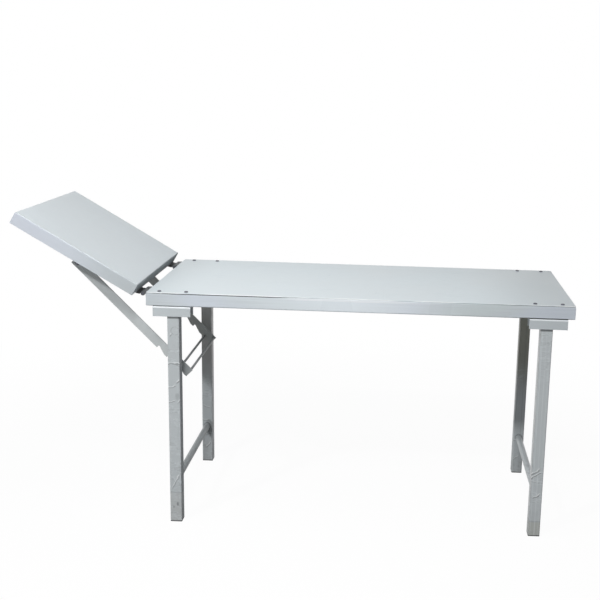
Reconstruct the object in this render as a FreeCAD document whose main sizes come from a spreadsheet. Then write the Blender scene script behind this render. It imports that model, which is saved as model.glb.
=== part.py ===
import FreeCAD, Part

import os
import re
import Sketcher

# Steel examination table with a head section that tilts on two hinges and is held
# up by a notched strut, which hooks over a rod between the head-end legs.
# +X points to the foot end, +Z up. The origin is on the floor, under the middle
# of the table as it stands with its head section raised. Millimetres and degrees.

SIZES = {
    # Main section, measured over the top sheet and the frame under it
    "table_length": 1340,
    "table_width": 560,
    "table_height": 770,
    "rail_depth": 41.5,
    "rail_flange": 30,
    "rail_gauge": 1.5,
    "rail_bend": 4,
    "sheet_gauge": 1.5,
    "sheet_corner": 5,
    "sheet_edge": 1,
    "member_width": 32,
    "member_count": 3,
    # Head section
    "head_length": 437,
    "head_rail_depth": 38.5,
    "head_angle": 30,
    # Legs, their brackets and feet
    "leg_size": 38,
    "leg_wall": 1.5,
    "leg_corner": 3,
    "leg_centre_inset": 85,
    "leg_side_inset": 1,
    "bracket_length": 119,
    "bracket_depth": 32.5,
    "bracket_gauge": 3,
    "bracket_bend": 5,
    "bracket_offset": 4,
    "foot_height": 3,
    "foot_plug_depth": 18,
    "foot_plug_wall": 2,
    "foot_plug_play": 0.2,
    "cross_tube_diameter": 22,
    "cross_tube_wall": 1.5,
    "cross_tube_height": 140,
    # Bolts through top sheet, rail and leg bracket
    "bolt_pitch": 85,
    "bolt_diameter": 6,
    "bolt_head_diameter": 12.5,
    "bolt_head_height": 3,
    "bolt_play": 0.3,
    "bolt_end": 2,
    "nut_flats": 10,
    "nut_height": 5,
    "washer_diameter": 13,
    "washer_gauge": 1.6,
    # Hinges
    "hinge_drop": 16,
    "hinge_reach": 23,
    "head_rise": 33.3,
    "head_gap": 20.4,
    "knuckle_diameter": 14,
    "hinge_pin_diameter": 8,
    "hinge_fit": 0.05,
    "hinge_width": 73,
    "hinge_near_inset": 52,
    "hinge_far_inset": 2,
    "knuckle_length": 20,
    "knuckle_gap": 0.4,
    "knuckle_clearance": 1,
    "strap_gauge": 4,
    "strap_lap": 32,
    # Strut and the rod that it hooks over
    "ratchet_rod_diameter": 8,
    "ratchet_rod_height": 501,
    "strut_inset": 80,
    "bar_width": 30,
    "bar_gauge": 5,
    "bar_tail": 15,
    "bar_past_rod": 34,
    "notch_count": 3,
    "notch_pitch": 45,
    "notch_depth": 9.5,
    "notch_floor": 4,
    "notch_ramp": 28,
    "notch_seat": 10,
    "rod_drop": 12.1,
    "handle_rod_diameter": 8,
    "handle_rod_rise": 9.5,
    "handle_rod_end": 4.6,
    "pivot_back": 230,
    "pivot_drop": 31,
    "pivot_bolt_diameter": 8,
    "pivot_fit": 0.08,
    "pivot_head_diameter": 15,
    "pivot_head_height": 5.3,
    "pivot_nut_flats": 13,
    "pivot_nut_height": 6.5,
    "pivot_washer_diameter": 16,
    "pivot_washer_gauge": 1.2,
    "pivot_gap": 0.3,
    "lug_width": 28,
    "lug_gauge": 5,
}

DERIVED = {
    "frame_top": "=table_height - sheet_gauge",
    "frame_bottom": "=frame_top - rail_depth",
    "head_depth": "=head_rail_depth + sheet_gauge",
    "bracket_width": "=leg_size + 2 * bracket_gauge",
    "head_cos": "=cos(head_angle * 1 deg)",
    "head_sin": "=sin(head_angle * 1 deg)",
    # The raised head section's low outer edge is its furthest point from the hinges
    "head_reach": "=hinge_reach + (head_gap + head_length) * head_cos"
                  " + (head_depth - head_rise) * head_sin",
    "head_end": "=(head_reach - table_length) / 2",
    "hinge_x": "=head_end - hinge_reach",
    "hinge_z": "=table_height - hinge_drop",
    "pivot_x": "=hinge_x - pivot_back * head_cos - pivot_drop * head_sin",
    "pivot_z": "=hinge_z + pivot_back * head_sin - pivot_drop * head_cos",
    "rod_x": "=head_end + leg_centre_inset",
    "rod_run": "=rod_x - pivot_x",
    "rod_fall": "=pivot_z - ratchet_rod_height",
    "rod_distance": "=sqrt(rod_run ^ 2 + rod_fall ^ 2)",
    "rod_along": "=sqrt(rod_distance ^ 2 - rod_drop ^ 2)",
    "strut_angle": "=(atan(rod_fall / rod_run) - asin(rod_drop / rod_distance)) / 1 deg",
    "bar_end": "=rod_along + bar_past_rod",
}

doc = FreeCAD.newDocument("examination_table")
sheet = doc.addObject("Spreadsheet::Sheet", "sizes")
for row, (name, entry) in enumerate(list(SIZES.items()) + list(DERIVED.items()), start=1):
    sheet.set(f"A{row}", name)
    sheet.set(f"B{row}", str(entry))
    sheet.setAlias(f"B{row}", name)
doc.recompute()

NAMES = re.compile(r"\b(" + "|".join(sorted(list(SIZES) + list(DERIVED), key=len, reverse=True)) + r")\b")
parts = []


def cell(text):
    """An expression on the sheet's names, as FreeCAD's expression engine reads it."""
    return NAMES.sub(r"sizes.\1", str(text))


def value(text):
    """The number that an expression on the sheet's names gives now."""
    return float(sheet.evalExpression(cell(text)))


def bind(thing, prop, text):
    thing.setExpression(prop, cell(text))


def new_body(label):
    body = doc.addObject("PartDesign::Body", label)
    body.Label = label
    parts.append(body)
    return body


def new_sketch(body, plane, lift="0"):
    """A sketch on one of the body's own planes, lifted along that plane's normal."""
    sketch = body.newObject("Sketcher::SketchObject", "outline")
    origin_plane = [item for item in body.Origin.OriginFeatures if item.Role == plane][0]
    sketch.AttachmentSupport = [(origin_plane, "")]
    sketch.MapMode = "FlatFace"
    bind(sketch, "AttachmentOffset.Base.z", lift)
    return sketch


def pin_point(sketch, line, end, along, across):
    """Holds one end of a sketch line at a place worked out from the sheet."""
    for kind, text in (("DistanceX", along), ("DistanceY", across)):
        number = sketch.addConstraint(Sketcher.Constraint(kind, -1, 1, line, end, value(text)))
        bind(sketch, f"Constraints[{number}]", text)


def add_polygon(sketch, corners):
    """A closed outline through corners, each a pair of expressions."""
    places = [FreeCAD.Vector(value(along), value(across), 0) for along, across in corners]
    first = sketch.GeometryCount
    for start, stop in zip(places, places[1:] + places[:1]):
        sketch.addGeometry(Part.LineSegment(start, stop), False)
    for step, (along, across) in enumerate(corners):
        before = first + (step - 1) % len(corners)
        sketch.addConstraint(Sketcher.Constraint("Coincident", before, 2, first + step, 1))
        pin_point(sketch, first + step, 1, along, across)


def add_rectangle(sketch, low, high):
    add_polygon(sketch, [low, (high[0], low[1]), high, (low[0], high[1])])


def add_circle(sketch, centre, diameter):
    middle = FreeCAD.Vector(value(centre[0]), value(centre[1]), 0)
    radius = value(diameter) / 2
    ring = sketch.addGeometry(Part.Circle(middle, FreeCAD.Vector(0, 0, 1), radius), False)
    pin_point(sketch, ring, 3, centre[0], centre[1])
    number = sketch.addConstraint(Sketcher.Constraint("Diameter", ring, 2 * radius))
    bind(sketch, f"Constraints[{number}]", diameter)


def pad(body, sketch, length, midplane=False):
    feature = body.newObject("PartDesign::Pad", "pad")
    feature.Profile = sketch
    feature.Midplane = midplane
    bind(feature, "Length", length)
    doc.recompute()
    return feature


def cut_through(body, sketch):
    """A pocket through the whole body, both ways from the sketch."""
    before = body.Shape.Volume
    feature = body.newObject("PartDesign::Pocket", "pocket")
    feature.Profile = sketch
    feature.Type = "ThroughAll"
    feature.Midplane = True
    doc.recompute()
    assert body.Shape.Volume < before, body.Label + ": a pocket cut nothing"


def cut_up(body, sketch, height):
    """A pocket from the sketch upwards."""
    before = body.Shape.Volume
    feature = body.newObject("PartDesign::Pocket", "pocket")
    feature.Profile = sketch
    feature.Reversed = True
    bind(feature, "Length", height)
    doc.recompute()
    assert body.Shape.Volume < before, body.Label + ": a pocket cut nothing"


def work_edges(body, kind, prop, amount, chosen):
    """A fillet or chamfer on the edges for which chosen(edge) is true."""
    base = body.Tip
    names = [f"Edge{number}" for number, edge in enumerate(base.Shape.Edges, start=1) if chosen(edge)]
    feature = body.newObject(f"PartDesign::{kind}", kind.lower())
    feature.Base = (base, names)
    bind(feature, prop, amount)
    doc.recompute()


def round_edges(body, radius, chosen):
    work_edges(body, "Fillet", "Radius", radius, chosen)


def bevel_edges(body, size, chosen):
    work_edges(body, "Chamfer", "Size", size, chosen)


def runs_along(edge, axis):
    if edge.Curve.TypeId != "Part::GeomLine":
        return False
    direction = edge.Curve.Direction
    return abs(getattr(direction, axis)) > 0.999


def near(number, text):
    return abs(number - value(text)) < 0.01


def place(body, frame, along="0", across="0", up="0", turn=0):
    """Puts a body in a frame, turned about the frame's vertical axis first."""
    spot = FreeCAD.Vector(value(along), value(across), value(up))
    local = FreeCAD.Placement(spot, FreeCAD.Rotation(FreeCAD.Vector(0, 0, 1), turn))
    body.Placement = frame.multiply(local)


def tilted_frame(along, up, angle):
    spot = FreeCAD.Vector(value(along), 0, value(up))
    return FreeCAD.Placement(spot, FreeCAD.Rotation(FreeCAD.Vector(0, 1, 0), value(angle)))


# The table's frame starts at the main section's head end, on its centre line.
# The head section's frame lies on the hinge axis and the strut's on its pivot.
TABLE = FreeCAD.Placement(FreeCAD.Vector(value("head_end"), 0, 0), FreeCAD.Rotation())
HEAD = tilted_frame("hinge_x", "hinge_z", "head_angle")
STRUT = tilted_frame("pivot_x", "pivot_z", "strut_angle")

# Places that several pieces share, along the table from its head end
LEG_PLACES = {"head": ("leg_centre_inset", -1), "foot": ("table_length - leg_centre_inset", 1)}
SIDES = {"near": -1, "far": 1}
LEG_ACROSS = "(table_width / 2 - leg_side_inset - leg_size / 2)"


def bolt_places():
    """Centres of the eight leg bolts, along and across the table."""
    spots = []
    for along, outward in LEG_PLACES.values():
        for side in SIDES.values():
            for step in (-1, 1):
                centre = f"({along}) + {outward} * bracket_offset + {step} * bolt_pitch / 2"
                spots.append((centre, f"{side} * {LEG_ACROSS}"))
    return spots


# Sheet metal frames and tops

def frame_rail(label, length, depth):
    """A channel bent from sheet, open inwards, with its ends mitred at 45 degrees.

    Its outer face is on y = 0 and its lower face on z = 0, and it runs along x."""
    body = new_body(label)
    outline = new_sketch(body, "YZ_Plane", f"-({length}) / 2")
    add_polygon(outline, [
        ("0", "0"), ("rail_flange", "0"), ("rail_flange", "rail_gauge"), ("rail_gauge", "rail_gauge"),
        ("rail_gauge", f"{depth} - rail_gauge"), ("rail_flange", f"{depth} - rail_gauge"),
        ("rail_flange", depth), ("0", depth)])
    pad(body, outline, length)
    round_edges(body, "rail_bend", lambda edge: near(edge.CenterOfMass.y, "0")
                and (near(edge.CenterOfMass.z, "0") or near(edge.CenterOfMass.z, depth))
                and runs_along(edge, "x"))
    round_edges(body, "rail_bend - rail_gauge", lambda edge: near(edge.CenterOfMass.y, "rail_gauge")
                and runs_along(edge, "x") and 0 < edge.CenterOfMass.z < value(depth))
    mitres = new_sketch(body, "XY_Plane")
    for end in (-1, 1):
        outer = f"{end} * ({length}) / 2"
        inner = f"{end} * (({length}) / 2 - rail_flange)"
        add_polygon(mitres, [(outer, "0"), (inner, "rail_flange"), (outer, "rail_flange")])
    cut_through(body, mitres)
    return body


def cross_member(label, span, depth):
    """A channel lying across between the flanges of two side rails, open to +x."""
    body = new_body(label)
    half = "member_width / 2"
    outline = new_sketch(body, "XZ_Plane", f"-({span}) / 2")
    add_polygon(outline, [
        (f"-{half}", "0"), (half, "0"), (half, "rail_gauge"), (f"-{half} + rail_gauge", "rail_gauge"),
        (f"-{half} + rail_gauge", f"{depth} - rail_gauge"), (half, f"{depth} - rail_gauge"),
        (half, depth), (f"-{half}", depth)])
    pad(body, outline, span)
    round_edges(body, "rail_bend", lambda edge: near(edge.CenterOfMass.x, f"-{half}")
                and runs_along(edge, "y"))
    return body


def top_sheet(label, length, width, holes):
    """A flat sheet with small corner radii and a softened upper edge; z = 0 is its underside."""
    body = new_body(label)
    outline = new_sketch(body, "XY_Plane")
    add_rectangle(outline, ("0", f"-({width}) / 2"), (length, f"({width}) / 2"))
    pad(body, outline, "sheet_gauge")
    round_edges(body, "sheet_corner", lambda edge: runs_along(edge, "z"))
    round_edges(body, "sheet_edge", lambda edge: near(edge.BoundBox.ZMin, "sheet_gauge"))
    if holes:
        drill(body, holes, "bolt_diameter + 2 * bolt_play")
    return body


def folded_top(label, length, width, depth):
    """A top with its four sides folded down and its corners welded; z = 0 is its lower edge."""
    body = new_body(label)
    outline = new_sketch(body, "XY_Plane")
    add_rectangle(outline, ("0", f"-({width}) / 2"), (length, f"({width}) / 2"))
    pad(body, outline, depth)
    round_edges(body, "sheet_gauge", lambda edge: runs_along(edge, "z"))
    round_edges(body, "rail_bend", lambda edge: near(edge.BoundBox.ZMin, depth))
    hollow = new_sketch(body, "XY_Plane")
    add_rectangle(hollow, ("sheet_gauge", f"-({width}) / 2 + sheet_gauge"),
                  (f"({length}) - sheet_gauge", f"({width}) / 2 - sheet_gauge"))
    underside = f"({depth}) - sheet_gauge"
    cut_up(body, hollow, underside)
    round_edges(body, "rail_bend - sheet_gauge", lambda edge: near(edge.BoundBox.ZMin, underside)
                and near(edge.BoundBox.ZMax, underside))
    return body


def drill(body, holes, diameter):
    """Round holes through the body along z, at places in the body's own frame."""
    sketch = new_sketch(body, "XY_Plane")
    for along, across in holes:
        add_circle(sketch, (along, across), diameter)
    cut_through(body, sketch)


def build_main_section():
    place(top_sheet("main_top_sheet", "table_length", "table_width", bolt_places()),
          TABLE, up="frame_top")
    for name, side in SIDES.items():
        rail = frame_rail(f"main_rail_{name}", "table_length", "rail_depth")
        # A far rail is turned half round, so its places run the other way
        holes = [(f"{-side} * (({along}) - table_length / 2)", f"table_width / 2 - {LEG_ACROSS}")
                 for along, across in bolt_places() if across.startswith(str(side) + " ")]
        drill(rail, holes, "bolt_diameter + 2 * bolt_play")
        place(rail, TABLE, "table_length / 2", f"{side} * table_width / 2", "frame_bottom",
              0 if side < 0 else 180)
    for name, along, turn in (("head", "0", -90), ("foot", "table_length", 90)):
        place(frame_rail(f"main_rail_{name}_end", "table_width", "rail_depth"),
              TABLE, along, up="frame_bottom", turn=turn)
    for number in range(1, int(value("member_count")) + 1):
        member = cross_member(f"main_cross_member_{number}", "table_width - 2 * rail_bend",
                              "(rail_depth - 2 * rail_gauge)")
        place(member, TABLE, f"table_length * {number} / (member_count + 1)",
              up="frame_bottom + rail_gauge")


def build_head_section():
    """Built level, as it lies when the table is flat, in the frame of its hinge axis."""
    lower_face = "head_rise - head_depth"
    outer_end = "-head_gap - head_length"
    place(folded_top("head_top_sheet", "head_length", "table_width", "head_depth"),
          HEAD, outer_end, up=lower_face)
    # The frame fits inside the folded sides
    frame_length = "head_length - 2 * sheet_gauge"
    frame_width = "table_width - 2 * sheet_gauge"
    for name, side in SIDES.items():
        place(frame_rail(f"head_rail_{name}", frame_length, "head_rail_depth"),
              HEAD, "-head_gap - head_length / 2", f"{side} * ({frame_width}) / 2", lower_face,
              0 if side < 0 else 180)
    for name, along, turn in (("outer_end", f"{outer_end} + sheet_gauge", -90),
                              ("hinge_end", "-head_gap - sheet_gauge", 90)):
        place(frame_rail(f"head_rail_{name}", frame_width, "head_rail_depth"),
              HEAD, along, up=lower_face, turn=turn)
    place(cross_member("head_cross_member", f"{frame_width} - 2 * rail_bend",
                       "(head_rail_depth - 2 * rail_gauge)"),
          HEAD, "-pivot_back", up=f"{lower_face} + rail_gauge")


# Legs

def leg_tube(label):
    """Square tube, centred, from the top of its foot up to the bend inside its bracket."""
    body = new_body(label)
    outline = new_sketch(body, "XY_Plane", "foot_height")
    for half in ("leg_size / 2", "(leg_size / 2 - leg_wall)"):
        add_rectangle(outline, (f"-{half}", f"-{half}"), (half, half))
    pad(body, outline, "frame_bottom - bracket_bend - foot_height")
    outer = "leg_size / 2"
    round_edges(body, "leg_corner", lambda edge: runs_along(edge, "z")
                and near(abs(edge.CenterOfMass.x), outer))
    round_edges(body, "leg_corner - leg_wall", lambda edge: runs_along(edge, "z")
                and near(abs(edge.CenterOfMass.x), "leg_size / 2 - leg_wall")
                and near(abs(edge.CenterOfMass.y), "leg_size / 2 - leg_wall"))
    return body


def leg_bracket(label):
    """Channel bent down over the top of a leg, with a bolt hole beyond each side of it."""
    body = new_body(label)
    half = "bracket_width / 2"
    inner = "leg_size / 2"
    outline = new_sketch(body, "YZ_Plane", "-bracket_length / 2")
    add_polygon(outline, [
        (f"-{half}", "-bracket_depth"), (f"-{inner}", "-bracket_depth"), (f"-{inner}", "-bracket_gauge"),
        (inner, "-bracket_gauge"), (inner, "-bracket_depth"), (half, "-bracket_depth"),
        (half, "0"), (f"-{half}", "0")])
    pad(body, outline, "bracket_length")
    round_edges(body, "bracket_bend", lambda edge: runs_along(edge, "x")
                and near(edge.CenterOfMass.z, "0"))
    round_edges(body, "bracket_bend - bracket_gauge", lambda edge: runs_along(edge, "x")
                and near(edge.CenterOfMass.z, "-bracket_gauge"))
    drill(body, [("-bolt_pitch / 2", "0"), ("bolt_pitch / 2", "0")], "bolt_diameter + 2 * bolt_play")
    return body


def foot_plug(label):
    """Plastic end plug: a flange as wide as the leg and a hollow plug inside the tube."""
    body = new_body(label)
    outline = new_sketch(body, "XY_Plane")
    add_rectangle(outline, ("-leg_size / 2", "-leg_size / 2"), ("leg_size / 2", "leg_size / 2"))
    pad(body, outline, "foot_height")
    round_edges(body, "leg_corner", lambda edge: runs_along(edge, "z"))
    plug = "(leg_size / 2 - leg_wall - foot_plug_play)"
    hollow = f"({plug} - foot_plug_wall)"
    outline = new_sketch(body, "XY_Plane", "foot_height")
    add_rectangle(outline, (f"-{plug}", f"-{plug}"), (plug, plug))
    add_rectangle(outline, (f"-{hollow}", f"-{hollow}"), (hollow, hollow))
    pad(body, outline, "foot_plug_depth")
    round_edges(body, "leg_corner - leg_wall", lambda edge: runs_along(edge, "z")
                and near(abs(edge.CenterOfMass.x), plug) and near(abs(edge.CenterOfMass.y), plug))
    return body


def round_bar(label, diameter, length, bore=None):
    """A round bar or tube along y, centred."""
    body = new_body(label)
    outline = new_sketch(body, "XZ_Plane")
    add_circle(outline, ("0", "0"), diameter)
    if bore:
        add_circle(outline, ("0", "0"), bore)
    pad(body, outline, length, midplane=True)
    return body


def build_legs():
    between_legs = "table_width - 2 * (leg_side_inset + leg_size)"
    for end, (along, outward) in LEG_PLACES.items():
        for name, side in SIDES.items():
            across = f"{side} * {LEG_ACROSS}"
            place(leg_tube(f"leg_{end}_{name}"), TABLE, along, across)
            place(foot_plug(f"foot_plug_{end}_{name}"), TABLE, along, across)
            place(leg_bracket(f"leg_bracket_{end}_{name}"), TABLE,
                  f"({along}) + {outward} * bracket_offset", across, "frame_bottom")
        tube = round_bar(f"cross_tube_{end}", "cross_tube_diameter", between_legs,
                         "cross_tube_diameter - 2 * cross_tube_wall")
        place(tube, TABLE, along, up="cross_tube_height")
    place(round_bar("ratchet_rod", "ratchet_rod_diameter", between_legs),
          TABLE, "leg_centre_inset", up="ratchet_rod_height")


# Fasteners: each node holds the identical pieces of one kind

def fastener_group(label, kind, spots, frame, make):
    """One body of separate equal solids: the first is sketched, the rest repeat it."""
    group = doc.addObject("Part::Compound", label)
    group.Label = label
    copies = []
    for number, (along, across, up, axis_turn) in enumerate(spots):
        piece = make(f"{kind}_{number}")
        spot = FreeCAD.Vector(value(along), value(across), value(up))
        turn = FreeCAD.Rotation(FreeCAD.Vector(1, 0, 0), axis_turn)
        piece.Placement = frame.multiply(FreeCAD.Placement(spot, turn))
        copies.append(piece)
    group.Links = copies
    doc.recompute()
    parts.append(group)
    return group


def free_body(label):
    return doc.addObject("PartDesign::Body", label)


def pan_head_bolt(label, diameter, shank, head_diameter, head_height):
    """Head above z = 0, shank below it."""
    body = free_body(label)
    head = new_sketch(body, "XY_Plane")
    add_circle(head, ("0", "0"), head_diameter)
    pad(body, head, head_height)
    bevel_edges(body, f"({head_height}) / 2", lambda edge: near(edge.BoundBox.ZMin, head_height))
    stem = new_sketch(body, "XY_Plane", f"-({shank})")
    add_circle(stem, ("0", "0"), diameter)
    pad(body, stem, shank)
    return body


def flat_ring(label, outer, bore, height):
    """A washer below z = 0."""
    body = free_body(label)
    outline = new_sketch(body, "XY_Plane", f"-({height})")
    add_circle(outline, ("0", "0"), outer)
    add_circle(outline, ("0", "0"), bore)
    pad(body, outline, height)
    return body


def hex_nut(label, flats, bore, height):
    """A nut below z = 0, drawn as its six sides and its bore."""
    body = free_body(label)
    outline = new_sketch(body, "XY_Plane", f"-({height})")
    corner = f"({flats}) / 2 / cos(30 deg)"
    add_polygon(outline, [(f"{corner} * cos({60 * step} deg)", f"{corner} * sin({60 * step} deg)")
                          for step in range(6)])
    add_circle(outline, ("0", "0"), bore)
    pad(body, outline, height)
    return body


def build_leg_fasteners():
    grip = "(table_height - frame_bottom + bracket_gauge)"
    under_bracket = "frame_bottom - bracket_gauge"
    shank = f"{grip} + washer_gauge + nut_height + bolt_end"

    def spots(height):
        return [(along, across, height, 0) for along, across in bolt_places()]

    fastener_group("leg_bolts", "leg_bolt", spots("table_height"), TABLE,
                   lambda label: pan_head_bolt(label, "bolt_diameter", shank,
                                               "bolt_head_diameter", "bolt_head_height"))
    fastener_group("leg_washers", "leg_washer", spots(under_bracket), TABLE,
                   lambda label: flat_ring(label, "washer_diameter", "bolt_diameter + 2 * bolt_play",
                                           "washer_gauge"))
    fastener_group("leg_nuts", "leg_nut", spots(f"{under_bracket} - washer_gauge"), TABLE,
                   lambda label: hex_nut(label, "nut_flats", "bolt_diameter + 2 * hinge_fit", "nut_height"))


# Hinges: the main leaf carries two knuckles and the head leaf the one between them

def hinge_leaf(label, knuckles, tongue, plate):
    """Knuckles around y, each with a tongue to a plate as wide as the whole hinge.

    Tongue and plate are given by their side views, and the pin's bore is cut last."""
    body = new_body(label)
    for start, stop in knuckles:
        ring = new_sketch(body, "XZ_Plane", f"-({stop})")
        add_circle(ring, ("0", "0"), "knuckle_diameter")
        pad(body, ring, f"({stop}) - ({start})")
        link = new_sketch(body, "XZ_Plane", f"-({stop})")
        add_polygon(link, tongue)
        pad(body, link, f"({stop}) - ({start})")
    wide = new_sketch(body, "XZ_Plane", "-hinge_width")
    add_polygon(wide, plate)
    pad(body, wide, "hinge_width")
    bore = new_sketch(body, "XZ_Plane")
    add_circle(bore, ("0", "0"), "hinge_pin_diameter")
    cut_through(body, bore)
    return body


def build_hinges():
    top = "knuckle_diameter / 2"
    # The main strap runs level from the top of its knuckles to the frame's end
    strap_under = f"({top} - strap_gauge)"
    clear = f"({top} + knuckle_clearance)"
    main_knuckles = [("0", "knuckle_length"), ("hinge_width - knuckle_length", "hinge_width")]
    main_tongue = [("0", strap_under), ("hinge_reach", strap_under), ("hinge_reach", top), ("0", top)]
    main_plate = [(clear, strap_under), ("hinge_reach", strap_under), ("hinge_reach", top), (clear, top)]
    # The head strap is level with its knuckle's underside and laps under the head section's frame
    lap_top = "(head_rise - head_depth)"
    lap_under = f"({lap_top} - strap_gauge)"
    lap_start = "(rail_bend - head_gap)"
    lap_end = "(-head_gap - strap_lap)"
    head_knuckles = [("knuckle_length + knuckle_gap", "hinge_width - knuckle_length - knuckle_gap")]
    head_tongue = [("0", f"-{top}"), ("0", f"-{strap_under}"), (lap_start, lap_top), ("-head_gap", lap_under)]
    head_plate = [(f"-{clear}", f"-{top}"), (f"-{clear}", f"-{strap_under}"), (lap_start, lap_top),
                  (lap_end, lap_top), (lap_end, lap_under), ("-head_gap", lap_under)]
    axis = tilted_frame("hinge_x", "hinge_z", "0")
    for name, across in (("near", "hinge_near_inset - table_width / 2"),
                         ("far", "table_width / 2 - hinge_far_inset - hinge_width")):
        place(hinge_leaf(f"hinge_leaf_main_{name}", main_knuckles, main_tongue, main_plate),
              axis, across=across)
        place(hinge_leaf(f"hinge_leaf_head_{name}", head_knuckles, head_tongue, head_plate),
              HEAD, across=across)
        pin = round_bar(f"hinge_pin_{name}", "hinge_pin_diameter - 2 * hinge_fit", "hinge_width")
        place(pin, axis, across=f"{across} + hinge_width / 2")


# Strut

def notched_bar(label):
    """Flat bar along x from its pivot, with saw-tooth notches in its lower edge.

    Each notch has a steep face on the pivot's side, which bears on the rod, a short
    floor and a long ramp, over which the rod slides out as the head section rises."""
    body = new_body(label)
    low = "-bar_width / 2"
    corners = [("-bar_tail", low)]
    for number in reversed(range(int(value("notch_count")))):
        wall = f"(rod_along - notch_seat - {number} * notch_pitch)"
        corners += [(wall, low), (wall, f"{low} + notch_depth"),
                    (f"{wall} + notch_floor", f"{low} + notch_depth"),
                    (f"{wall} + notch_floor + notch_ramp", low)]
    corners += [("bar_end", low), ("bar_end", "bar_width / 2"), ("-bar_tail", "bar_width / 2")]
    outline = new_sketch(body, "XZ_Plane")
    add_polygon(outline, corners)
    add_circle(outline, ("0", "0"), "pivot_bolt_diameter + 2 * pivot_fit")
    pad(body, outline, "bar_gauge", midplane=True)
    return body


def strut_lug(label):
    """Plate hanging from the head section's cross member, with the strut's pivot hole."""
    body = new_body(label)
    hang = "pivot_drop - (head_depth - head_rise - rail_gauge)"
    outline = new_sketch(body, "XZ_Plane")
    add_rectangle(outline, ("-lug_width / 2", "-lug_width / 2"), ("lug_width / 2", hang))
    pad(body, outline, "lug_gauge", midplane=True)
    # The rounded end comes a hair short of the full half width, so that the two arcs stay apart
    round_edges(body, "lug_width * 0.49", lambda edge: runs_along(edge, "y")
                and near(edge.CenterOfMass.z, "-lug_width / 2"))
    hole = new_sketch(body, "XZ_Plane")
    add_circle(hole, ("0", "0"), "pivot_bolt_diameter + 2 * hinge_fit")
    cut_through(body, hole)
    return body


def build_strut():
    bar_across = "(table_width / 2 - strut_inset)"
    washer_face = "(bar_gauge / 2 + pivot_gap)"
    lug_face = f"({washer_face} + pivot_washer_gauge)"
    bolt_spots, washer_spots, nut_spots = [], [], []
    for name, side in SIDES.items():
        place(notched_bar(f"strut_bar_{name}"), STRUT, across=f"{side} * {bar_across}")
        inward = -side
        place(strut_lug(f"strut_lug_{name}"), HEAD, "-pivot_back",
              f"{side} * {bar_across} + {inward} * ({lug_face} + lug_gauge / 2)", "-pivot_drop")
        # Fasteners are drawn along z and laid over, with their shanks pointing inwards
        lay = 90 * side
        outside = f"{side} * ({bar_across} + bar_gauge / 2 + pivot_gap)"
        bolt_spots.append(("-pivot_back", outside, "-pivot_drop", -lay))
        washer_spots.append(("-pivot_back", f"{side} * ({bar_across} - {washer_face})", "-pivot_drop", -lay))
        nut_spots.append(("-pivot_back", f"{side} * ({bar_across} - {lug_face} - lug_gauge)",
                          "-pivot_drop", -lay))
    shank = f"pivot_gap + bar_gauge / 2 + {lug_face} + lug_gauge + pivot_nut_height + bolt_end"
    fastener_group("pivot_bolts", "pivot_bolt", bolt_spots, HEAD,
                   lambda label: pan_head_bolt(label, "pivot_bolt_diameter", shank,
                                               "pivot_head_diameter", "pivot_head_height"))
    bore = "pivot_bolt_diameter + 2 * hinge_fit"
    fastener_group("pivot_washers", "pivot_washer", washer_spots, HEAD,
                   lambda label: flat_ring(label, "pivot_washer_diameter", bore, "pivot_washer_gauge"))
    fastener_group("pivot_nuts", "pivot_nut", nut_spots, HEAD,
                   lambda label: hex_nut(label, "pivot_nut_flats", bore, "pivot_nut_height"))
    rod = round_bar("strut_handle_rod", "handle_rod_diameter", f"2 * {bar_across} - bar_gauge")
    place(rod, STRUT, "bar_end - handle_rod_end", up="handle_rod_rise")


build_main_section()
build_head_section()
build_legs()
build_leg_fasteners()
build_hinges()
build_strut()
doc.recompute()

for thing in doc.Objects:
    if "Invalid" in thing.State or "Error" in thing.State:
        raise RuntimeError(f"{thing.Label} failed: {thing.State}")
for part in parts:
    if part.Shape.isNull() or not part.Shape.isValid():
        raise RuntimeError(f"{part.Label} has no valid shape")

os.makedirs("parts", exist_ok=True)
for part in parts:
    part.Shape.exportStep(f"parts/{part.Label}.step")
print(len(parts), "sub-parts written")
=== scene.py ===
import math

import bpy
from mathutils import Matrix, Vector


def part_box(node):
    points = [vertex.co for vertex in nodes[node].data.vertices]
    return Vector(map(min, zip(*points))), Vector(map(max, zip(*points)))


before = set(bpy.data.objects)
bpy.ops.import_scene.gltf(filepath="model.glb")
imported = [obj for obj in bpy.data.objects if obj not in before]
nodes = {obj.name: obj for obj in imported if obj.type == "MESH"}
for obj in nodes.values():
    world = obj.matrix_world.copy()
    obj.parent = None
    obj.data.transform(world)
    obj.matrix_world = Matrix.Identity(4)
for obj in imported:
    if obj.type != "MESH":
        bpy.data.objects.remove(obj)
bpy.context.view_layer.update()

scene = bpy.context.scene


# Camera, at the photograph's place and with its framing

IMAGE_SIZE = 600
SENSOR = 36.0
FOCAL_PIXELS = 988.13
PRINCIPAL = (366.51, 280.96)
CAMERA_PLACE = Vector((0.34021, -3.26737, 1.46693))
YAW, PITCH, ROLL = 0.036126, 0.210078, 0.025396


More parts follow.
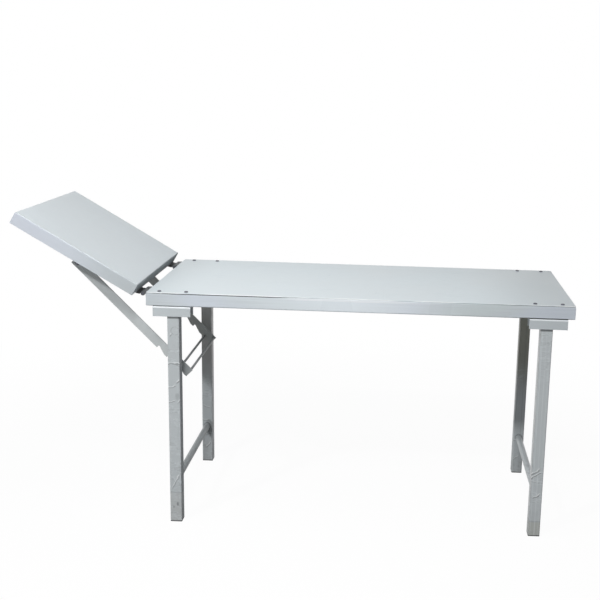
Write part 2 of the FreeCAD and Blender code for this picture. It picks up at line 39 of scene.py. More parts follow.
def make_camera():
    forward = Vector((-math.sin(YAW) * math.cos(PITCH), math.cos(YAW) * math.cos(PITCH), -math.sin(PITCH)))
    level_right = Vector((math.cos(YAW), math.sin(YAW), 0))
    level_up = level_right.cross(forward)
    right = level_right * math.cos(ROLL) + level_up * math.sin(ROLL)
    up = level_up * math.cos(ROLL) - level_right * math.sin(ROLL)
    camera = bpy.data.objects.new("camera", bpy.data.cameras.new("camera"))
    turn = Matrix((right, up, -forward)).transposed().to_4x4()
    camera.matrix_world = Matrix.Translation(CAMERA_PLACE) @ turn
    camera.data.sensor_width = SENSOR
    camera.data.lens = SENSOR * FOCAL_PIXELS / IMAGE_SIZE
    camera.data.shift_x = (IMAGE_SIZE / 2 - PRINCIPAL[0]) / IMAGE_SIZE
    camera.data.shift_y = (PRINCIPAL[1] - IMAGE_SIZE / 2) / IMAGE_SIZE
    camera.data.clip_end = 100
    scene.collection.objects.link(camera)
    scene.camera = camera


# Node graphs: a small wrapper keeps each material's recipe readable

class Graph:
    def __init__(self, name):
        self.material = bpy.data.materials.new(name)
        self.material.use_nodes = True
        self.tree = self.material.node_tree
        self.shader = self.tree.nodes["Principled BSDF"]

    def add(self, kind, settings=(), **inputs):
        """A node. settings are its own options; inputs are numbers, colours or other nodes' sockets."""
        node = self.tree.nodes.new("ShaderNode" + kind)
        for name, value in dict(settings).items():
            setattr(node, name, value)
        for name, value in inputs.items():
            self.feed(node, int(name[1:]) if name[0] == "_" else name.replace("_", " "), value)
        return node

    def feed(self, node, socket, value):
        target = node.inputs[socket]
        if isinstance(value, bpy.types.NodeSocket):
            self.tree.links.new(value, target)
        else:
            target.default_value = value

    def maths(self, operation, first, second=0.0):
        return self.add("Math", {"operation": operation}, _0=first, _1=second).outputs[0]

    def times(self, first, *others):
        """The product of several numbers or sockets."""
        for other in others:
            first = self.maths("MULTIPLY", first, other)
        return first

    def band(self, value, low, high, out_low=0.0, out_high=1.0):
        """Value from low to high brought to a range, with soft ends."""
        node = self.add("MapRange", {"interpolation_type": "SMOOTHSTEP"}, Value=value)
        ends = {"From Min": low, "From Max": high, "To Min": out_low, "To Max": out_high}
        for name, number in ends.items():
            node.inputs[name].default_value = number
        return node.outputs[0]

    def place(self, scale=(1, 1, 1), shift=(0, 0, 0), turn=(0, 0, 0)):
        """The object's own coordinates, in metres, moved and stretched."""
        where = self.add("TexCoord").outputs["Object"]
        mapping = self.add("Mapping", {}, Vector=where, Scale=scale, Location=shift, Rotation=turn)
        return mapping.outputs[0]

    def noise(self, where, scale, detail=3.0, roughness=0.55):
        node = self.add("TexNoise", {}, Vector=where, Scale=scale, Detail=detail, Roughness=roughness)
        return node.outputs["Fac"]

    def mix(self, share, first, second):
        node = self.add("Mix", {"data_type": "RGBA"})
        self.feed(node, 0, share)
        self.feed(node, 6, first)
        self.feed(node, 7, second)
        return node.outputs[2]


def shade(colour, factor):
    return (*(channel * factor for channel in colour), 1)


# Materials

class Surface(Graph):
    def __init__(self, name, colour, seed, shine):
        super().__init__(name)
        self.colour = colour
        self.seed = seed
        self.plain = self.place((1, 1, 1), (seed, seed, seed))
        self.shader.inputs["Specular IOR Level"].default_value = shine
        self.tone = shade(colour, 1)
        self.rough = 0.5
        self.height = 0.0

    def tint(self, mask, share, colour):
        self.tone = self.mix(self.times(mask, share), self.tone, colour)

    def raise_by(self, mask, metres):
        self.height = self.maths("ADD", self.height, self.times(mask, metres))

    def roughen(self, mask, amount):
        self.rough = self.maths("ADD", self.rough, self.times(mask, amount))

    def axis(self, number, shift=(0, 0, 0)):
        """One of the object's coordinates, after a shift."""
        return self.add("SeparateXYZ", {}, Vector=self.place(shift=shift)).outputs[number]

    def line(self, value, half_width):
        """1 where value is near zero, in a soft line."""
        return self.band(self.maths("ABSOLUTE", value), half_width, half_width * 0.3)

    def finish(self, edge_radius=0.0008):
        self.feed(self.shader, "Base Color", self.tone)
        self.feed(self.shader, "Roughness", self.rough)
        bump = self.add("Bump", {}, Strength=0.6, Distance=1.0, Height=self.height)
        rounded = self.add("Bevel", {"samples": 4}, Radius=edge_radius)
        self.feed(rounded, "Normal", bump.outputs[0])
        self.feed(self.shader, "Normal", rounded.outputs[0])
        return self.material


def edge_mask(graph, radius):
    """0 on flat faces, up to 1 on convex and concave edges."""
    soft = graph.add("Bevel", {"samples": 4}, Radius=radius).outputs[0]
    hard = graph.add("NewGeometry").outputs["Normal"]
    straight = graph.add("VectorMath", {"operation": "DOT_PRODUCT"}, _0=soft, _1=hard).outputs["Value"]
    return graph.band(straight, 0.995, 0.9)


def scratch_lines(graph, seed, stretch, turn, density):
    """Thin broken lines along one direction."""
    where = graph.place(stretch, (seed, seed * 0.7, -seed), turn)
    lines = graph.noise(where, 1.0, 1.0, 0.4)
    patches = graph.noise(graph.place((1, 1, 1), (seed * 3, 0, seed)), 9.0, 2.0)
    thin = graph.line(graph.maths("SUBTRACT", lines, 0.5), 0.012)
    return graph.times(thin, graph.band(patches, 1 - density, 1.08 - density))


def powder_coat(name, colour, seed, gloss, shine, wear):
    """Cloudy tone, fine mottle, orange peel, hair scratches, and edges made lighter for wear and as a painted
    highlight.
    """
    graph = Surface(name, colour, seed, shine)
    clouds = graph.noise(graph.plain, 2.2, 2.0)
    mottle = graph.noise(graph.plain, 38.0, 4.0, 0.6)
    graph.tone = graph.mix(graph.band(clouds, 0.3, 0.7), shade(colour, 0.965), shade(colour, 1.03))
    graph.tint(graph.band(mottle, 0.35, 0.75), 0.18, shade(colour, 0.9))
    scratches = scratch_lines(graph, seed, (3, 160, 160), (0, 0.05, 0.06), 0.42)
    crossing = scratch_lines(graph, seed + 5, (120, 14, 120), (0, 0.6, 0.4), 0.36)
    marks = graph.maths("MAXIMUM", scratches, crossing)
    graph.tint(marks, 0.35 * wear, shade(colour, 0.62))
    # Edges lighter, partly as wear and partly as a painted highlight on the rounded edges
    rubbed_and_highlit = graph.times(edge_mask(graph, 0.0012), graph.band(mottle, 0.3, 0.65, 0.25, 1.0))
    graph.tint(rubbed_and_highlit, 0.55 * wear, shade(colour, 1.22))
    graph.rough = graph.band(clouds, 0.3, 0.7, gloss - 0.05, gloss + 0.07)
    graph.roughen(marks, 0.2)
    graph.raise_by(graph.noise(graph.plain, 420.0, 2.0), 0.00012)
    return graph


def darken_crevices(graph, reach, share, unshaded_span=None):
    """Painted shade in the narrow gaps between pieces, where little light reaches, less over a stretch along
    x.
    """
    clear = graph.add("AmbientOcclusion", {"samples": 8}, Distance=reach).outputs["AO"]
    painted_shade = graph.band(clear, 0.9, 0.4)
    if unshaded_span:
        along = graph.axis(0)
        start, end = unshaded_span
        soft = 0.04
        opens = graph.band(along, start - soft, start + soft)
        closes = graph.band(along, end + soft, end - soft)
        inside = graph.times(opens, closes)
        painted_shade = graph.times(painted_shade, graph.maths("SUBTRACT", 1.0, inside))
    graph.tint(painted_shade, share, shade(graph.colour, 0.1))


def long_streaks(graph, share):
    """Faint wavy streaks along x, as a rolled sheet shows under its coat."""
    streaks = graph.noise(graph.place((4, 4, 150), (graph.seed, 0, graph.seed)), 1.0, 2.0, 0.5)
    graph.tint(graph.band(streaks, 0.52, 0.68), share, shade(graph.colour, 1.18))
    graph.tint(graph.band(streaks, 0.46, 0.34), share, shade(graph.colour, 0.84))
    hue = graph.noise(graph.place((3.2, 3.2, 9), (graph.seed * 2, 0, 0)), 1.0, 1.0)
    red, green, blue = graph.colour
    graph.tint(graph.band(hue, 0.5, 0.66), 0.6, (red * 0.99, green * 0.99, blue * 1.07, 1))
    graph.tint(graph.band(hue, 0.48, 0.34), 0.6, (red * 0.99, green * 1.02, blue * 0.98, 1))


def level_line(graph, low, high, opening, closing, share, colour):
    """A painted line of shade or light along x on the near side, from low to high up.

    It grows over the stretch named opening and fades over the one named closing."""
    level = graph.axis(2)
    along = graph.axis(0)
    near_side = graph.band(graph.axis(1), 0.0, -0.1)
    line = graph.times(graph.band(level, low, low + 0.0006), graph.band(level, high, high - 0.0004),
                       graph.band(along, *opening), graph.band(along, closing[1], closing[0]), near_side)
    graph.tint(line, share, colour)


def facing_across(graph):
    """1 on faces square to the table's width, 0 on faces along it."""
    normal = graph.add("NewGeometry").outputs["Normal"]
    return graph.maths("ABSOLUTE", graph.add("SeparateXYZ", {}, Vector=normal).outputs[1])


def painted_broad_light(graph, centre, reach, share, colour, sides_only=False):
    """A wide soft painted change of light or shade about a place along x, on all faces or on the near and far
    sides.
    """
    mask = graph.band(graph.maths("ABSOLUTE", graph.axis(0, (-centre, 0, 0))), reach, 0.0)
    if sides_only:
        mask = graph.times(mask, graph.band(facing_across(graph), 0.85, 0.97))
    graph.tint(mask, share, colour)


def painted_bend_shade(graph, share):
    """Painted shade on the bends along the near and far sides, a little darker than the flats."""
    across = facing_across(graph)
    bend = graph.times(graph.band(across, 0.08, 0.3), graph.band(across, 0.99, 0.85))
    graph.tint(bend, share, shade(graph.colour, 0.55))


def hinge_side_shade(graph, share):
    """The head section's side at the hinges, darker with painted shade and with a rougher finish.

    Its place is measured from the hinge line along the raised head section, negative up the slope."""
    along = graph.times(graph.axis(0, (-HINGE_X, 0, 0)), math.cos(HEAD_SLOPE))
    down = graph.times(graph.axis(2, (0, 0, -HINGE_Z)), -math.sin(HEAD_SLOPE))
    less_near = graph.band(graph.axis(1), -0.27, -0.1, 0.1, 1.0)
    painted_shade = graph.times(graph.band(graph.maths("ADD", along, down), -0.0245, -0.0212), less_near)
    graph.tint(painted_shade, share, shade(graph.colour, 0.62))
    graph.roughen(painted_shade, 0.45)


def painted_rim_highlight(graph, inside, outside, share):
    """A painted highlight along the top sheet's near rim, broken into lengths."""
    rim = graph.band(graph.axis(1), -inside, -outside)
    patches = graph.noise(graph.place((5, 5, 5), (graph.seed, 4, 0)), 1.0, 3.0, 0.6)
    along = graph.axis(0)
    whole = graph.times(graph.band(along, -0.31, -0.24), graph.band(along, 0.0, -0.05))
    lengths = graph.maths("MAXIMUM", graph.band(patches, 0.42, 0.58), whole)
    graph.tint(graph.times(rim, lengths), share, (0.93, 0.95, 0.96, 1))


def film_folds(graph, amount):
    """Small random folds of a tight wrapping film: painted highlights on the ridges and painted shade in the
    hollows, with a small bump.
    """
    where = graph.place((14, 14, 46), (graph.seed, 0, graph.seed * 2), (0.25, 0.45, 0))
    folds = graph.noise(where, 1.0, 3.0, 0.6)
    here = graph.band(graph.noise(graph.plain, 7.0, 1.0), 0.5, 0.62)
    ridge = graph.times(graph.line(graph.maths("SUBTRACT", folds, 0.5), 0.03), here)
    hollow = graph.times(graph.line(graph.maths("SUBTRACT", folds, 0.56), 0.02), here)
    graph.tint(ridge, 0.35 * amount, shade(graph.colour, 1.3))
    graph.tint(hollow, 0.4 * amount, shade(graph.colour, 0.6))
    graph.raise_by(ridge, 0.0006 * amount)


def crease(graph, x, z, slope, length, strength):
    """One fold of the film across a leg: a painted highlight line over a painted shadow line, wavering a
    little.
    """
    along = graph.axis(0, (-x, 0, 0))
    up = graph.axis(2, (0, 0, -z))
    waver = graph.times(graph.maths("SUBTRACT", graph.noise(graph.plain, 60.0, 1.0), 0.5), 0.012)
    cosine = 1 / math.sqrt(1 + slope * slope)
    rise = graph.times(graph.maths("SUBTRACT", up, graph.times(along, slope)), cosine)
    rise = graph.maths("ADD", rise, waver)
    reach = length / 2 * cosine
    within = graph.band(graph.maths("ABSOLUTE", along), reach, reach * 0.7)
    apart = 0.0016
    bright = graph.times(graph.line(graph.maths("SUBTRACT", rise, apart), 0.0026), within)
    dark = graph.times(graph.line(graph.maths("ADD", rise, apart), 0.0024), within)
    graph.tint(bright, min(1.0, 0.6 * strength), (0.88, 0.9, 0.91, 1))
    graph.tint(dark, min(1.0, 0.55 * strength), shade(graph.colour, 0.3))
    graph.raise_by(bright, 0.0004)


def ring_mark(graph, x, z, radius):
    """A faint round mark, such as glue leaves."""
    along = graph.axis(0, (-x, 0, 0))
    up = graph.axis(2, (0, 0, -z))
    square = graph.maths("ADD", graph.times(along, along), graph.times(up, up))
    ring = graph.line(graph.maths("SUBTRACT", graph.maths("SQRT", square), radius), 0.0022)
    patchy = graph.band(graph.noise(graph.plain, 60.0, 2.0), 0.35, 0.6)
    graph.tint(graph.times(ring, patchy), 0.55, shade(graph.colour, 0.62))


def smudge(graph, x, z, width, height, share):
    """A dark soft-edged spot on a leg."""
    along = graph.times(graph.axis(0, (-x, 0, 0)), 2 / width)
    up = graph.times(graph.axis(2, (0, 0, -z)), 2 / height)
    square = graph.maths("ADD", graph.times(along, along), graph.times(up, up))
    ragged = graph.maths("ADD", square, graph.times(graph.noise(graph.plain, 120.0, 2.0), 0.8))
    graph.tint(graph.band(ragged, 1.4, 0.5), share, shade(graph.colour, 0.42))


def foot_zone(graph, top, colour, share):
    """A duller stretch above the floor, with a sharp, slightly uneven upper edge."""
    level = graph.maths("ADD", graph.axis(2), graph.times(graph.noise(graph.plain, 30.0, 1.0), 0.006))
    graph.tint(graph.band(level, top + 0.003, top + 0.001), share, (*colour, 1))
    edge = graph.line(graph.maths("SUBTRACT", level, top + 0.004), 0.0028)
    graph.tint(edge, 0.35, shade(graph.colour, 0.45))


def painted_upright_lines(graph, spots):
    """Thin upright lines down a leg's front, each at a place along x: a painted highlight where strength is
    above 0, a painted shade line where it is below.
    """
    lengths = graph.noise(graph.place((90, 90, 7), (graph.seed, 0, 3)), 1.0, 2.0)
    for x, half_width, strength in spots:
        here = graph.line(graph.axis(0, (-x, 0, 0)), half_width)
        here = graph.times(here, graph.band(lengths, 0.3, 0.6, 0.35, 1.0))
        colour = (0.85, 0.88, 0.9, 1) if strength > 0 else shade(graph.colour, 0.35)
        graph.tint(here, abs(strength), colour)


def grime(graph, amount):
    """Dirt that gathers towards the floor."""
    ragged = graph.maths("ADD", graph.axis(2), graph.times(graph.noise(graph.plain, 26.0, 4.0), 0.16))
    low = graph.band(ragged, 0.2, 0.06)
    patchy = graph.band(graph.noise(graph.plain, 70.0, 5.0, 0.65), 0.35, 0.7, 0.3, 1.0)
    stains = graph.times(low, patchy)
    graph.tint(stains, amount, (0.2, 0.195, 0.175, 1))
    graph.roughen(stains, 0.25)


def side_face(graph, facing, share, factor, dulled):
    """The face of a leg towards +x or -x, with painted shade or painted light making it darker or lighter
    than its front, and less glossy where dulled.
    """
    normal = graph.add("NewGeometry").outputs["Normal"]
    along = graph.times(graph.add("SeparateXYZ", {}, Vector=normal).outputs[0], facing)
    face = graph.band(along, 0.6, 0.95)
    graph.tint(face, share, shade(graph.colour, factor))
    graph.roughen(face, dulled)


def bracket_shadow_line(graph):
    """A painted shadow line at the top of a leg, where it enters its bracket."""
    shadow_line = graph.band(graph.axis(2), BRACKET_UNDERSIDE - 0.0085, BRACKET_UNDERSIDE - 0.006)
    graph.tint(shadow_line, 0.75, shade(graph.colour, 0.25))


def painted_upper_shade(graph, low, high, colour):
    """Painted shade on the upper part of a leg, growing from low to high."""
    graph.tint(graph.band(graph.axis(2), low, high), 1.0, (*colour, 1))


def leg_paint(name, seed, folds=(), smudges=(), upright=(), ring=None, zone=None, side=None, upper=None,
              crumple=0.8, painted_light_factor=1.0):
    """A leg's paint under its wrapping film, with that leg's own folds and marks, many of them painted light
    and shade, and its whole tone made lighter or darker per leg, as painted light.

    A fold is its place along x, its height, slope, length and strength. A smudge is its place along x, its
    height, its width, how tall it is and its share. The other marks are their functions' own arguments."""
    graph = powder_coat(name, shade(LEG_COLOUR, painted_light_factor)[:3], seed, gloss=0.32, shine=LEG_SHINE, wear=0.8)
    grime(graph, 0.35)
    if side:
        side_face(graph, *side)
    if upper:
        painted_upper_shade(graph, *upper)
    if zone:
        foot_zone(graph, *zone)
    film_folds(graph, crumple)
    painted_upright_lines(graph, upright)
    for fold in folds:
        crease(graph, *fold)
    for spot in smudges:
        smudge(graph, *spot)
    if ring:
        ring_mark(graph, *ring)
    bracket_shadow_line(graph)
    darken_crevices(graph, 0.008, 0.85)
    return graph.finish()


def plated_steel(name, colour, seed):
    """Dull zinc plate with darker stains and a fine grain."""
    graph = Graph(name)
    plain = graph.place((1, 1, 1), (seed, seed, seed))
    stain = graph.noise(plain, 180.0, 4.0, 0.6)
    tone = graph.mix(graph.band(stain, 0.35, 0.7), shade(colour, 1.15), shade(colour, 0.6))
    graph.feed(graph.shader, "Base Color", tone)
    graph.shader.inputs["Metallic"].default_value = 0.85
    graph.feed(graph.shader, "Roughness", graph.band(stain, 0.3, 0.7, 0.38, 0.62))
    bump = graph.add("Bump", {}, Strength=0.5, Distance=1.0,
                     Height=graph.times(graph.noise(plain, 900.0, 2.0), 0.00008))
    graph.feed(graph.shader, "Normal", bump.outputs[0])
    return graph.material


def moulded_plastic(name, colour, seed):
    """Black moulded plastic with a fine grain, dusty in patches."""
    graph = Graph(name)
    plain = graph.place((1, 1, 1), (seed, seed, seed))
    dust = graph.noise(plain, 90.0, 4.0)
    tone = graph.mix(graph.band(dust, 0.4, 0.8, 0.0, 0.6), shade(colour, 1.0), (0.12, 0.12, 0.115, 1))
    graph.feed(graph.shader, "Base Color", tone)
    graph.feed(graph.shader, "Roughness", graph.band(dust, 0.3, 0.8, 0.5, 0.75))
    bump = graph.add("Bump", {}, Strength=0.6, Distance=1.0,
                     Height=graph.times(graph.noise(plain, 1500.0, 2.0), 0.0001))
    graph.feed(graph.shader, "Normal", bump.outputs[0])
    return graph.material


def dress(material, name):
    mesh = nodes[name].data
    mesh.materials.clear()
    mesh.materials.append(material)


# Floor, surroundings and light

def make_light(name, place, target, size, power, reflected=True):
    lamp = bpy.data.lights.new(name, "AREA")
    lamp.shape = "SQUARE"
    lamp.size = size
    lamp.energy = power
    light = bpy.data.objects.new(name, lamp)
    light.location = place
    light.visible_glossy = reflected
    light.rotation_mode = "QUATERNION"
    light.rotation_quaternion = (Vector(target) - Vector(place)).to_track_quat("-Z", "Y")
    scene.collection.objects.link(light)


def make_world(strength):
    """Even dim surroundings, which the camera and reflections see as white."""
    world = bpy.data.worlds.new("studio")
    world.use_nodes = True
    tree = world.node_tree
    tree.nodes.clear()
    path = tree.nodes.new("ShaderNodeLightPath")
    lit = tree.nodes.new("ShaderNodeBackground")
    lit.inputs["Color"].default_value = (0.93, 0.97, 1.0, 1)
    lit.inputs["Strength"].default_value = strength
    white = tree.nodes.new("ShaderNodeBackground")
    white.inputs["Color"].default_value = (1, 1, 1, 1)
    white.inputs["Strength"].default_value = 1.0
    seen = path.outputs["Is Camera Ray"]
    for other in ("Is Glossy Ray", "Is Transmission Ray"):
        either = tree.nodes.new("ShaderNodeMath")
        either.operation = "MAXIMUM"
        tree.links.new(seen, either.inputs[0])
        tree.links.new(path.outputs[other], either.inputs[1])
        seen = either.outputs[0]
    mix = tree.nodes.new("ShaderNodeMixShader")
    tree.links.new(seen, mix.inputs[0])
    tree.links.new(lit.outputs[0], mix.inputs[1])
    tree.links.new(white.outputs[0], mix.inputs[2])
    out = tree.nodes.new("ShaderNodeOutputWorld")
    tree.links.new(mix.outputs[0], out.inputs["Surface"])
    scene.world = world


def make_floor():
    """A wide pale floor, seen as white, that keeps a faint shadow near the object."""
    reach = 30.0
    mesh = bpy.data.meshes.new("floor")
    mesh.from_pydata([(-reach, -reach, 0), (reach, -reach, 0), (reach, reach, 0), (-reach, reach, 0)],
                     [], [(0, 1, 2, 3)])
    floor = bpy.data.objects.new("floor", mesh)
    scene.collection.objects.link(floor)
    graph = Graph("pale_floor")
    graph.shader.inputs["Base Color"].default_value = (0.3, 0.305, 0.31, 1)
    graph.shader.inputs["Roughness"].default_value = 0.9
    white = graph.add("Emission", {}, Color=(1, 1, 1, 1), Strength=1.0)
    distance = graph.add("VectorMath", {"operation": "LENGTH"}, _0=graph.place()).outputs["Value"]
    # The lit floor's share of what the camera sees, none far away, where no shadow falls
    lit_share = graph.band(distance, 1.0, 2.4, 0.035, 0.0)
    lit = graph.add("BsdfDiffuse", {}, Color=(0.95, 0.95, 0.95, 1)).outputs[0]
    path = graph.add("LightPath").outputs
    seen = graph.maths("MAXIMUM", path["Is Camera Ray"],
                       graph.maths("MAXIMUM", path["Is Glossy Ray"], path["Is Transmission Ray"]))
    view = graph.add("MixShader", {}, _0=lit_share, _1=white.outputs[0], _2=lit)
    mix = graph.add("MixShader", {}, _0=seen, _1=graph.shader.outputs[0], _2=view.outputs[0])
    graph.feed(graph.tree.nodes["Material Output"], "Surface", mix.outputs[0])
    mesh.materials.append(graph.material)


make_camera()
make_world(0.035)
make_floor()
MIDDLE = (0.1, 0, 0.6)
make_light("key", (-2.38, -3.185, 3.78), MIDDLE, size=0.25, power=112)
make_light("high_front", (0.0, -3.21, 4.3), MIDDLE, size=0.9, power=72)
make_light("overhead", (-0.26, -0.45, 2.34), MIDDLE, size=0.8, power=12.5)
make_light("low_front", (-0.4, -1.78, 0.85), MIDDLE, size=0.7, power=4)
# The last two are below the top's level. They light the far side and the foot end and add nothing to the top.
make_light("back", (-0.15, 3.1, 0.38), (0.0, 0.0, 0.45), size=0.6, power=22, reflected=False)
make_light("foot_end", (3.4, -0.3, 0.38), (0.8, 0.0, 0.45), size=0.6, power=7, reflected=False)

TOP_COLOUR = (0.60, 0.665, 0.695)
HEAD_COLOUR = (0.615, 0.67, 0.70)
FRAME_COLOUR = (0.61, 0.66, 0.69)
BRACKET_COLOUR = (0.53, 0.57, 0.59)
LEG_COLOUR = (0.53, 0.565, 0.58)
NEAR_STRUT_COLOUR = (0.57, 0.6, 0.605)
# The far strut bar's colour is darker than the near bar's, as painted shade
FAR_STRUT_SHADED_COLOUR = (0.46, 0.475, 0.465)
ROD_COLOUR = (0.36, 0.37, 0.375)
HINGE_COLOUR = (0.15, 0.155, 0.16)
ZINC_COLOUR = (0.12, 0.12, 0.145)
PLUG_COLOUR = (0.02, 0.02, 0.022)
LEG_SHINE = 0.15

HEAD_SLOPE = math.radians(30)
HINGE_X, HINGE_Z = -0.4818, 0.754
BRACKET_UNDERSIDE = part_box("leg_bracket_head_near")[0][2]

# Heights of the painted lines on the near side (painted shadow lines at the seam and in the gap under the
# rail, painted highlights on the seam's edge and on the bracket's top bend), and the stretch along x where
# the top sheet's seam is closed and gets no painted shade
SEAM = (0.7655, 0.7686)
SEAM_EDGE = (0.7600, 0.7686)
GAP_UNDER_RAIL = (0.7265, 0.7300)
BRACKET_TOP_BEND = (0.7215, 0.7262)
CLOSED_SEAM = (0.02, 0.62)

top_paint = powder_coat("top_paint", TOP_COLOUR, seed=1.0, gloss=0.34, shine=0.4, wear=0.35)
# Painted shade: the main top darker at its head end and towards its foot end
painted_broad_light(top_paint, -0.46, 0.16, 1.0, shade(TOP_COLOUR, 0.88))
painted_broad_light(top_paint, 0.87, 0.32, 1.0, shade(TOP_COLOUR, 0.79))
painted_rim_highlight(top_paint, 0.2715, 0.2745, 0.65)
# Painted shade in the gap between the top sheet and the rails, left out over the closed stretch of the seam
darken_crevices(top_paint, 0.006, 0.6, unshaded_span=CLOSED_SEAM)
top_paint.finish()

head_paint = powder_coat("head_paint", HEAD_COLOUR, seed=1.6, gloss=0.34, shine=0.35, wear=0.1)
painted_bend_shade(head_paint, 0.4)
# Painted light and shade on the head section's sides: lighter towards the outer end, darker at the hinges
painted_broad_light(head_paint, -0.85, 0.42, 0.9, (0.61, 0.645, 0.715, 1), sides_only=True)
painted_broad_light(head_paint, -0.5, 0.22, 1.0, (0.49, 0.53, 0.55, 1), sides_only=True)
# Painted shade on the head section's side at the hinges
hinge_side_shade(head_paint, 0.9)
darken_crevices(head_paint, 0.006, 0.6)
head_paint.finish()

frame_paint = powder_coat("frame_paint", FRAME_COLOUR, seed=2.3, gloss=0.3, shine=0.35, wear=0.5)
long_streaks(frame_paint, 0.3)
# Painted light on the near rail's middle, as a soft reflection, and painted shade at its head end
painted_broad_light(frame_paint, 0.2, 0.42, 0.8, (0.83, 0.89, 0.94, 1))
painted_broad_light(frame_paint, -0.45, 0.16, 0.6, shade(FRAME_COLOUR, 0.84))
# A painted shadow line under the top sheet's edge, and a painted highlight on that edge
level_line(frame_paint, *SEAM, (-0.45, -0.36), (-0.07, 0.01), 0.97, (0.03, 0.033, 0.037, 1))
level_line(frame_paint, *SEAM_EDGE, (-0.06, 0.04), (0.25, 0.5), 0.5, (0.9, 0.93, 0.95, 1))
# A painted shadow line in the gap under the rail, above the foot-end bracket
level_line(frame_paint, *GAP_UNDER_RAIL, (0.70, 0.72), (0.855, 0.865), 0.9, (0.03, 0.035, 0.035, 1))
# Painted shade in the gaps, left out over the closed stretch of the seam
darken_crevices(frame_paint, 0.007, 0.85, unshaded_span=CLOSED_SEAM)
frame_paint.finish()

inner_paint = powder_coat("inner_paint", FRAME_COLOUR, seed=2.9, gloss=0.36, shine=0.15, wear=0.5)
darken_crevices(inner_paint, 0.012, 0.6)
inner_paint.finish()

bracket_paint = powder_coat("bracket_paint", BRACKET_COLOUR, seed=5.1, gloss=0.34, shine=0.25, wear=1.0)
# Painted light on the brackets towards the foot end
painted_broad_light(bracket_paint, 0.77, 0.4, 0.8, (0.59, 0.635, 0.66, 1))
# A painted highlight along the bracket's top bend
level_line(bracket_paint, *BRACKET_TOP_BEND, (-0.46, -0.45), (0.87, 0.88), 0.6, (0.88, 0.91, 0.93, 1))
# Painted shade in the gaps
darken_crevices(bracket_paint, 0.008, 0.9)
bracket_paint.finish()

strut_coat = {"gloss": 0.4, "shine": 0.12, "wear": 0.9}
strut_paints = {
    "strut_bar_near": powder_coat("strut_paint_near", NEAR_STRUT_COLOUR, seed=6.4, **strut_coat),
    "strut_bar_far": powder_coat("strut_paint_far", FAR_STRUT_SHADED_COLOUR, seed=6.6, **strut_coat),
}
for paint in strut_paints.values():
    darken_crevices(paint, 0.01, 0.6)
    # Painted shade over a wider reach, under the head section
    darken_crevices(paint, 0.06, 0.6)
    paint.finish()

rod_paint = powder_coat("rod_paint", ROD_COLOUR, seed=6.9, gloss=0.4, shine=0.12, wear=0.9)
darken_crevices(rod_paint, 0.01, 0.6)
rod_paint.finish()

leaf_paint = powder_coat("leaf_paint", HINGE_COLOUR, seed=7.9, gloss=0.42, shine=0.25, wear=0.9)
darken_crevices(leaf_paint, 0.01, 0.85)
leaf_paint.finish()

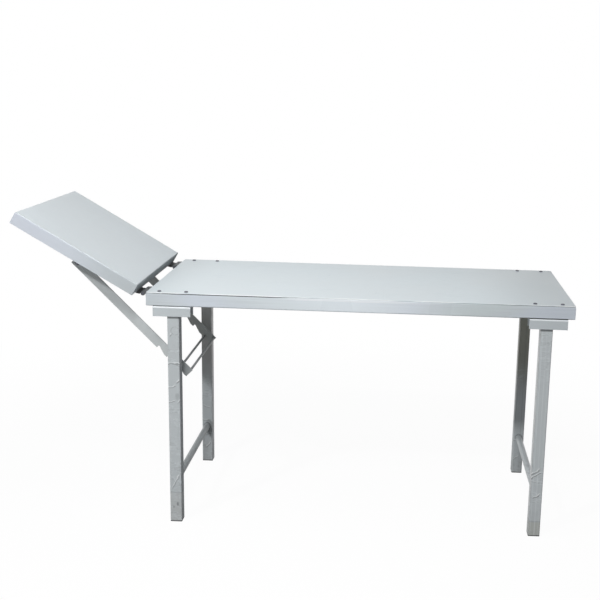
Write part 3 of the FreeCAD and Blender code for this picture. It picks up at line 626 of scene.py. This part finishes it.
# The head-end cross tube darker, as painted shade
tube_paints = {"cross_tube_head": leg_paint("tube_paint_head", 4.4, crumple=1.5, painted_light_factor=0.8),
               "cross_tube_foot": leg_paint("tube_paint_foot", 5.4, crumple=1.2)}
leg_paints = {
    "leg_head_near": leg_paint(
        # The +x face darker as painted shade, and the leg a little lighter as painted light
        "leg_paint_head_near", 3.7, ring=(-0.368, 0.648, 0.013), side=(1, 0.75, 0.68, 0.4), painted_light_factor=1.02,
        folds=((-0.382, 0.637, 2.2, 0.016, 0.8), (-0.372, 0.540, 0.0, 0.05, 0.9),
               (-0.361, 0.481, 1.0, 0.016, 1.1), (-0.381, 0.463, 0.25, 0.03, 0.8),
               (-0.382, 0.413, 0.4, 0.026, 0.8), (-0.359, 0.412, 1.2, 0.016, 0.6),
               (-0.373, 0.142, 1.9, 0.06, 0.7)),
        smudges=((-0.364, 0.430, 0.018, 0.03, 0.35), (-0.368, 0.062, 0.009, 0.018, 0.8),
                 (-0.381, 0.051, 0.008, 0.01, 0.6)),
        zone=(0.101, (0.51, 0.525, 0.525), 0.6)),
    "leg_head_far": leg_paint(
        # The upper part darker, as painted shade
        "leg_paint_head_far", 8.3, upper=(0.27, 0.43, (0.477, 0.477, 0.47)),
        folds=((-0.375, 0.217, -0.3, 0.03, 0.7), (-0.378, 0.163, 0.1, 0.03, 0.8),
               (-0.376, 0.108, 0.1, 0.044, 0.7), (-0.37, 0.065, 1.2, 0.03, 0.8)),
        # The first smudge is painted shadow where the cross tube meets the leg
        smudges=((-0.366, 0.133, 0.036, 0.08, 0.75), (-0.39, 0.1, 0.02, 0.06, 0.4))),
    "leg_foot_near": leg_paint(
        "leg_paint_foot_near", 10.9,
        folds=((0.792, 0.212, 0.7, 0.044, 1.3), (0.789, 0.222, 0.7, 0.036, 1.1),
               (0.796, 0.139, 0.7, 0.03, 1.3), (0.785, 0.189, 0.0, 0.022, 0.5)),
        # Painted highlight and shade lines down the front, the -x face lighter and the whole leg lighter,
        # both as painted light
        upright=((0.7775, 0.0016, -0.75), (0.784, 0.0014, 0.45), (0.797, 0.0022, 0.35), (0.808, 0.0016, 0.2)),
        side=(-1, 0.6, 1.35, 0.0), painted_light_factor=1.13, zone=(0.050, (0.49, 0.505, 0.475), 0.8)),
    "leg_foot_far": leg_paint(
        # The upper part darker as painted shade, and painted highlight and shade lines down the front
        "leg_paint_foot_far", 12.6, upper=(0.27, 0.47, (0.335, 0.335, 0.292)),
        folds=((0.79, 0.128, -0.2, 0.03, 0.7), (0.79, 0.06, 0.9, 0.03, 0.5)),
        upright=((0.779, 0.0016, 0.3), (0.802, 0.002, -0.3))),
}
zinc = plated_steel("plated_steel", ZINC_COLOUR, 9.2)
black = moulded_plastic("foot_plastic", PLUG_COLOUR, 11.0)

for name in nodes:
    if name.startswith("foot_plug"):
        dress(black, name)
    elif name.endswith(("_bolts", "_nuts", "_washers")) or name.startswith("hinge_pin"):
        dress(zinc, name)
    elif name == "main_top_sheet":
        dress(top_paint.material, name)
    elif name == "head_top_sheet":
        dress(head_paint.material, name)
    elif name.startswith("leg_bracket"):
        dress(bracket_paint.material, name)
    elif name in leg_paints:
        dress(leg_paints[name], name)
    elif name in tube_paints:
        dress(tube_paints[name], name)
    elif name in strut_paints:
        dress(strut_paints[name].material, name)
    elif name in ("strut_handle_rod", "ratchet_rod"):
        dress(rod_paint.material, name)
    elif name.startswith("hinge_leaf"):
        dress(leaf_paint.material, name)
    elif name.startswith("main_rail"):
        dress(frame_paint.material, name)
    else:
        dress(inner_paint.material, name)

scene.view_settings.view_transform = "Standard"
